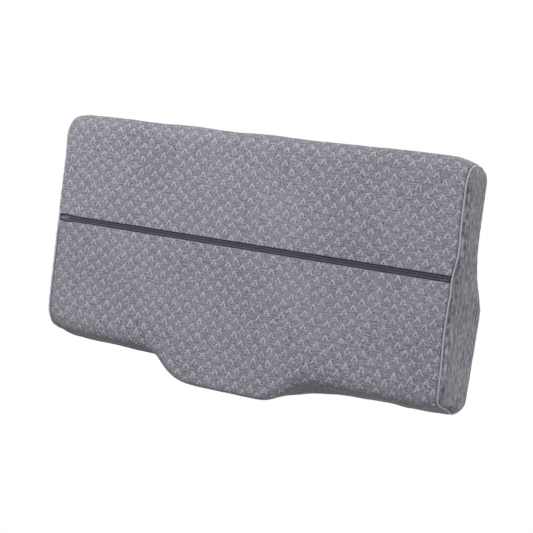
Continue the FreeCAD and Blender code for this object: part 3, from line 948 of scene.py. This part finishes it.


# ---- The zip -----------------------------------------------------------------------------------
# On opening, the chain behind the slider parts. Here the chain is built in three pieces along X,
# cut at the slider's travel: the end, the fan and the run.
SLIDE = next(j for j in frame["joints"] if j["name"] == "zip_slide")["range_m"][1]
FAN_START = slider_high.x - 6 * MM - SLIDE
FAN_END = FAN_START + 30 * MM
COIL_PITCH = 1.6 * MM
TAPE_RISE = 4.5 * MM  # how far the tapes rise into an end seam
ZIP_END = END_X - 3.0 * MM  # where the tapes run into the end seams
ZIP_PARTS = (("end", -ZIP_END, FAN_START), ("fan", FAN_START, FAN_END), ("run", FAN_END, ZIP_END))


def parts_with_slider(obj, part):
    """Gives a piece of the fan or the run its own mesh data."""
    if part == "fan":
        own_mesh(obj)
    if part == "run":
        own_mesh(obj)


def end_rise(x):
    """How far the cover's underside has risen at x, near an end seam."""
    last = 0.94  # the share of the quarter circle that is used
    depth = 0.66  # how deep the circle has gone there, in radii, rounded
    t = np.clip((abs(x) - (END_X - ROUNDING)) / ROUNDING, 0, 1) * last
    return (1 - np.sqrt(1 - t * t)) / depth * TAPE_RISE


def coil(side, name, part, low, high):
    """One row of the zip's teeth: a flattened coil of monofilament whose heads reach past the middle."""
    box_low, box_high = (front_coil_low, front_coil_high) if side < 0 else (back_coil_low, back_coil_high)
    wire = 0.34 * MM
    pitch = COIL_PITCH
    steps = 14
    reach_in = 0.55 * MM  # how far the heads cross the centre line
    outer = (box_high.y - ZIP_Y) if side > 0 else (ZIP_Y - box_low.y)
    middle = (outer - reach_in) / 2
    half_width = (outer + reach_in) / 2 - wire
    half_height = (box_high.z - box_low.z) / 2 - wire
    low, high = low + wire, min(high, box_high.x)  # past its stop the chain runs on into the end seam
    first, last = math.ceil(low / pitch), math.floor(high / pitch)
    t = np.arange((last - first) * steps + 1) * 2 * math.pi / steps
    lean = 0.22 * pitch * np.sin(t)
    x = first * pitch + t / (2 * math.pi) * pitch + lean + (0.5 * pitch if side > 0 else 0)
    flat = np.sign(np.cos(t)) * abs(np.cos(t)) ** 0.75
    y = ZIP_Y + side * (middle + half_width * flat)
    z = (box_low.z + box_high.z) / 2 + half_height * np.sin(t) + 0.4 * end_rise(x)
    obj = outward(tube(f"zip_coil_{name}_{part}", np.column_stack([x, y, z]), wire, sides=6))
    dress(obj, "coil", f"zip_coil_{name}")
    parts_with_slider(obj, part)


def stitch_line(name, x, y, z, dip, pitch, radius, node=None):
    """A line of sewing thread along X that rises and dips with each stitch."""
    wave = z + dip * np.sin(2 * math.pi * x / pitch)
    obj = outward(tube(name, np.column_stack([x, np.full(len(x), y), wave]), radius, sides=6))
    return dress(obj, "zip_thread", node)


def zip_threads(side, name, part, low, high):
    """The threads that sew the coil to its tape, and the one that sews the tape to the cover's hem."""
    pitch = COIL_PITCH
    x = np.arange(low, high, pitch / 6)
    x = x[x < front_coil_high.x]
    for k, reach in enumerate((1.55 * MM, 2.35 * MM)):
        z = front_coil_low.z + 0.02 * MM + 0.4 * end_rise(x)
        obj = stitch_line(f"zip_coil_thread_{name}_{part}_{k + 1}", x, ZIP_Y + side * reach, z,
                          0.16 * MM, pitch, 0.17 * MM)
        parts_with_slider(obj, part)
    reach = (tape_seam_low.y + tape_seam_high.y) / 2 - ZIP_Y
    x = np.arange(max(low, tape_seam_low.x), min(high, tape_seam_high.x), 0.5 * MM)
    z = (tape_seam_low.z + tape_seam_high.z) / 2 + end_rise(x)
    obj = stitch_line(f"zip_tape_seam_{name}_{part}", x, ZIP_Y + side * reach, z,
                      0.12 * MM, 3 * MM, 0.16 * MM, f"zip_seam_thread_{name}")
    parts_with_slider(obj, part)


def tape(side, name, part, low, high):
    """A woven tape with a beaded inner edge and a slightly wavy outer one."""
    x = np.linspace(low, high, max(4, int((high - low) / (3 * MM))))
    inner, outer = tape_low.y - ZIP_Y, tape_high.y - ZIP_Y
    box_end = front_coil_high.x
    width = outer - inner
    across = np.array([0, 0.35 * MM, 1.2 * MM, 4 * MM, 8 * MM, width - 1.2 * MM, width - 0.3 * MM])
    wavy = waves(8, 15 * MM, 50 * MM, 40 + side)(np.stack([x, 0 * x, 0 * x], -1))[:, None]
    gx, gs = np.meshgrid(x, across, indexing="ij")
    loose = smooth_step(gs, 4 * MM, 12 * MM)
    met = smooth_step(gx, box_end, box_end + 2.5 * MM)  # past the top stops the two tapes meet
    gy = ZIP_Y + side * (inner * (1 - met) + 0.2 * MM * met + gs + 0.25 * MM * wavy * loose)
    bead = 0.08 * MM * bump(gs, 0.6 * MM, 0.5 * MM)
    gz = tape_low.z + end_rise(gx) - bead + 0.12 * MM * wavy * loose
    points = np.stack([gx, gy, gz], -1)
    obj = mesh_object(f"zip_tape_{name}_{part}", points.reshape(-1, 3), grid_faces(*gx.shape))
    if obj.data.polygons[0].normal.z > 0:
        obj.data.flip_normals()
    wall = thicken(obj, tape_high.z - tape_low.z)
    bpy.context.view_layer.objects.active = obj
    bpy.ops.object.modifier_apply(modifier=wall.name)
    dress(obj, "tape", f"zip_tape_{name}")
    parts_with_slider(obj, part)


def carry_over(node, key, bevel=0.0):
    """A CAD node whose shape is right keeps its place, and gets its material and softened edges."""
    data = nodes[node].data
    data.materials.clear()
    data.materials.append(materials[key])
    if bevel:
        soften = nodes[node].modifiers.new("soften", "BEVEL")
        soften.width = bevel
        soften.segments = 2
        soften.limit_method = "ANGLE"


# ---- Stage -------------------------------------------------------------------------------------
def floor():
    """A wide pale floor under the sole that fades to white far off. From underneath it is clear, and it
    neither stops light nor darkens the sole that lies on it."""
    size = 30.0
    z = -0.6 * MM
    corners = [(-size, -size, z), (size, -size, z), (size, size, z), (-size, size, z)]
    obj = mesh_object("floor", corners, [(0, 1, 2, 3)], smooth=False)
    sh = Shader("floor")
    place = sh.node("ShaderNodeTexCoord").outputs["Object"]
    away = sh.node("ShaderNodeVectorMath", operation="LENGTH")
    sh.link(place, away.inputs[0])
    white = sh.node("ShaderNodeEmission")
    fade = sh.node("ShaderNodeMixShader")
    fade_from, fade_to = 0.5, 1.6
    sh.link(sh.ramp(away.outputs["Value"], fade_from, fade_to), fade.inputs[0])
    sh.link(sh.surface.outputs[0], fade.inputs[1])
    sh.link(white.outputs[0], fade.inputs[2])
    clear = sh.node("ShaderNodeBsdfTransparent")
    choose = sh.node("ShaderNodeMixShader")
    sh.link(sh.node("ShaderNodeNewGeometry").outputs["Backfacing"], choose.inputs[0])
    sh.link(fade.outputs[0], choose.inputs[1])
    sh.link(clear.outputs[0], choose.inputs[2])
    output = sh.tree.nodes["Material Output"]
    sh.link(choose.outputs[0], output.inputs["Surface"])
    grain = sh.noise(place, 3, 3, 0.5)
    pale = sh.mix(grain, srgb(240, 240, 241), srgb(246, 246, 247))
    obj.data.materials.append(sh.finish(Base_Color=pale, Roughness=0.9))
    obj.visible_shadow = False
    obj.visible_diffuse = False


def area_light(name, place, aim, size, power):
    data = bpy.data.lights.new(name, "AREA")
    data.shape = "DISK"
    data.size = size
    data.energy = power
    obj = bpy.data.objects.new(name, data)
    obj.location = place
    obj.rotation_mode = "QUATERNION"
    obj.rotation_quaternion = (Vector(aim) - Vector(place)).to_track_quat("-Z", "Y")
    bpy.context.scene.collection.objects.link(obj)


def lights():
    """Soft boxes above for the top and below for the sole, in a white room that dims to the front and top."""
    area_light("key_above", (0.5, -0.25, 2.0), (0, 0, 0.05), 1.6, 34)
    area_light("fill_above", (-1.2, 1.1, 1.6), (0, 0, 0.05), 1.8, 18)
    area_light("key_below", (0.3, 0.6, -0.7), (0.1, 0, 0), 0.7, 5.0)
    area_light("fill_below", (-2.0, -0.1, -0.15), (0, 0, 0.05), 1.2, 4)
    bright_side = Vector((-0.4, 0.57, -0.72)).normalized()
    brightest, dimmest = 1.14, 0.075
    world = bpy.data.worlds.new("studio")
    bpy.context.scene.world = world
    world.use_nodes = True
    room = Nodes(world.node_tree)
    background = room.tree.nodes["Background"]
    background.inputs["Color"].default_value = (1, 1, 1, 1)
    facing = room.node("ShaderNodeVectorMath", operation="DOT_PRODUCT")
    room.link(room.node("ShaderNodeTexCoord").outputs["Generated"], facing.inputs[0])
    room.link(bright_side, facing.inputs[1])
    falling = room.math("POWER", room.ramp(facing.outputs["Value"], -1.0, 1.0), 2.0)
    strength = room.node("ShaderNodeMix")  # the camera sees plain white
    room.link(room.node("ShaderNodeLightPath").outputs["Is Camera Ray"], strength.inputs[0])
    room.link(room.scaled(falling, brightest, dimmest), strength.inputs[2])
    room.link(1.0, strength.inputs[3])
    room.link(strength.outputs[0], background.inputs["Strength"])


def camera():
    """Looks at the sole from below, with the back edge up and one end panel in view.

    Place, direction and lens come from a fit of the pillow's edges, piping and zip to the photograph.
    """
    place = Vector((-0.824, 0.1357, -1.441))
    forward = Vector((0.4731, -0.0811, 0.8773)).normalized()
    up = Vector((0.1465, 0.9892, 0.0125))
    data = bpy.data.cameras.new("camera")
    data.lens = 85.6
    obj = bpy.data.objects.new("camera", data)
    right = forward.cross(up).normalized()
    up = right.cross(forward)
    matrix = Matrix((right, up, -forward)).transposed().to_4x4()
    matrix.translation = place
    obj.matrix_world = matrix
    bpy.context.scene.collection.objects.link(obj)
    bpy.context.scene.camera = obj


# ---- Build -------------------------------------------------------------------------------------
cover_grid, cloth_grid = read_cover()
core(cover_grid)
knit_cover(cover_grid, cloth_grid)
for side, name in ((-1, "left"), (1, "right")):
    end_panel(cover_grid, side, name)
    end_seam(cover_grid, side, name)
for side, name in ((-1, "front"), (1, "back")):
    for part, low, high in ZIP_PARTS:
        coil(side, name, part, low, high)
        zip_threads(side, name, part, low, high)
        tape(side, name, part, low, high)
for node in ("zip_top_stops", "zip_bottom_stop"):
    carry_over(node, "stop", 0.12 * MM)
# The body's darker lacquer is painted shade round the slider.
carry_over("zip_slider_body", "slider", 0.12 * MM)
carry_over("zip_slider_bridge", "tab", 0.1 * MM)
carry_over("zip_pull_tab", "tab", 0.15 * MM)

floor()
lights()
camera()
bpy.context.scene.view_settings.view_transform = "Standard"
